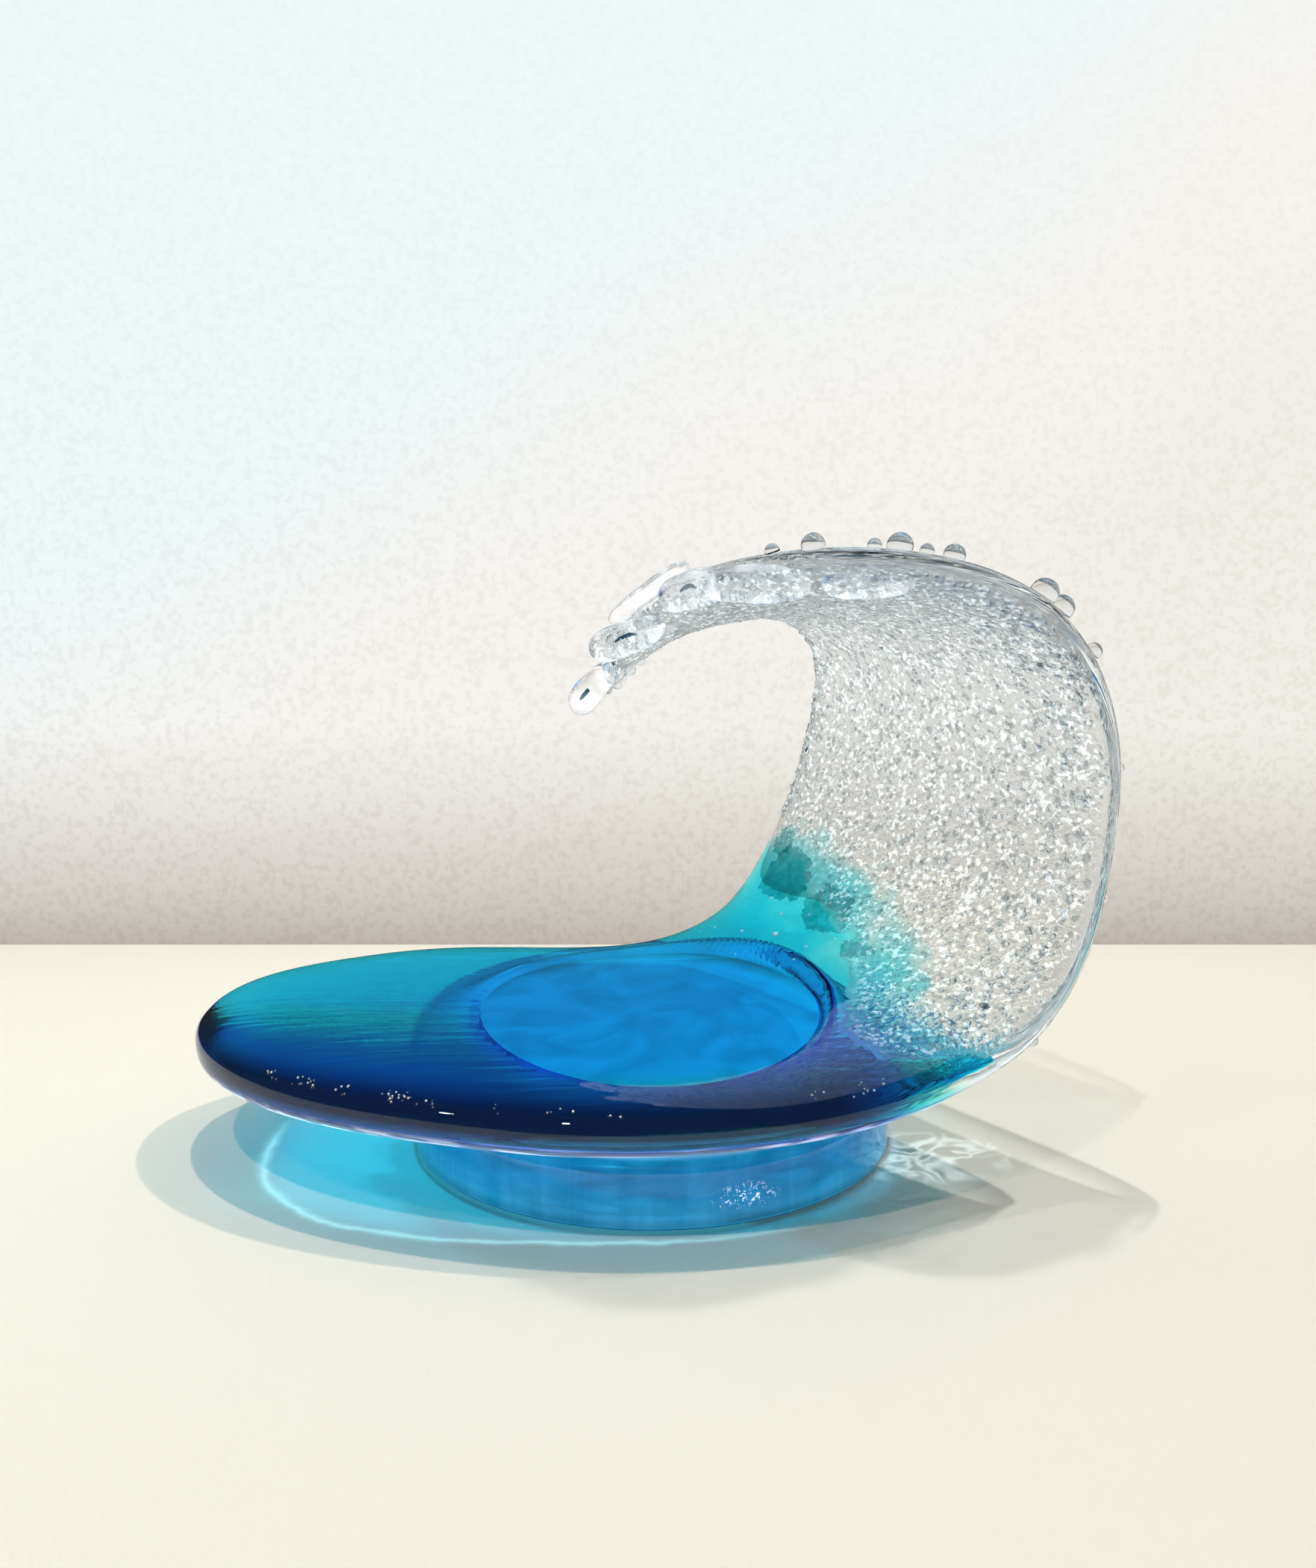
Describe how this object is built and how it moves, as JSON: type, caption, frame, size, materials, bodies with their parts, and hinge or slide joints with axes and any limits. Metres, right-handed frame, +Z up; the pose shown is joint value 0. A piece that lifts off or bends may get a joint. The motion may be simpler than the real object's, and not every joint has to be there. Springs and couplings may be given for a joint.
{
  "type": "glass wave sculpture",
  "caption": "Fused and bent glass slab shaped as a breaking wave, blue tongue rising to a clear grainy curl, bonded on a round glass foot.",
  "frame": {"origin": "centre of the foot's flat underside", "axes": "+Z up from the surface it rests on, +X towards the wall of the wave, -X towards the tip of the tongue, -Y towards the viewer of the picture"},
  "size_m": [0.2806, 0.1674, 0.1873],
  "materials": {
    "foot_glass": "polished cyan blue",
    "bond_clear": "clear adhesive film",
    "casing_clear": "fire polished, clear",
    "deep_blue_glass": "fire polished, deep blue",
    "frit_clear": "fused grains, clear, like crushed ice",
    "teal_glass": "fused, teal",
    "thread_glass": "fused, dark teal",
    "lobe_clear": "fire polished, clear with seed bubbles",
    "bead_clear": "fire polished, clear"
  },
  "bodies": {
    "root": {"foot_disc": "foot_glass", "foot_bond": "bond_clear", "clear_casing": "casing_clear", "blue_overlay": "deep_blue_glass", "frit_face": "frit_clear", "teal_flakes": "teal_glass", "coloured_threads": "thread_glass", "crest_lobe_right": "lobe_clear", "crest_lobe_middle": "lobe_clear", "crest_lobe_left": "lobe_clear", "crest_finger": "lobe_clear", "crest_drip": "lobe_clear", "back_fold": "lobe_clear", "crest_beads": "bead_clear", "back_beads": "bead_clear", "rim_drops": "bead_clear"}
  },
  "joints": []
}
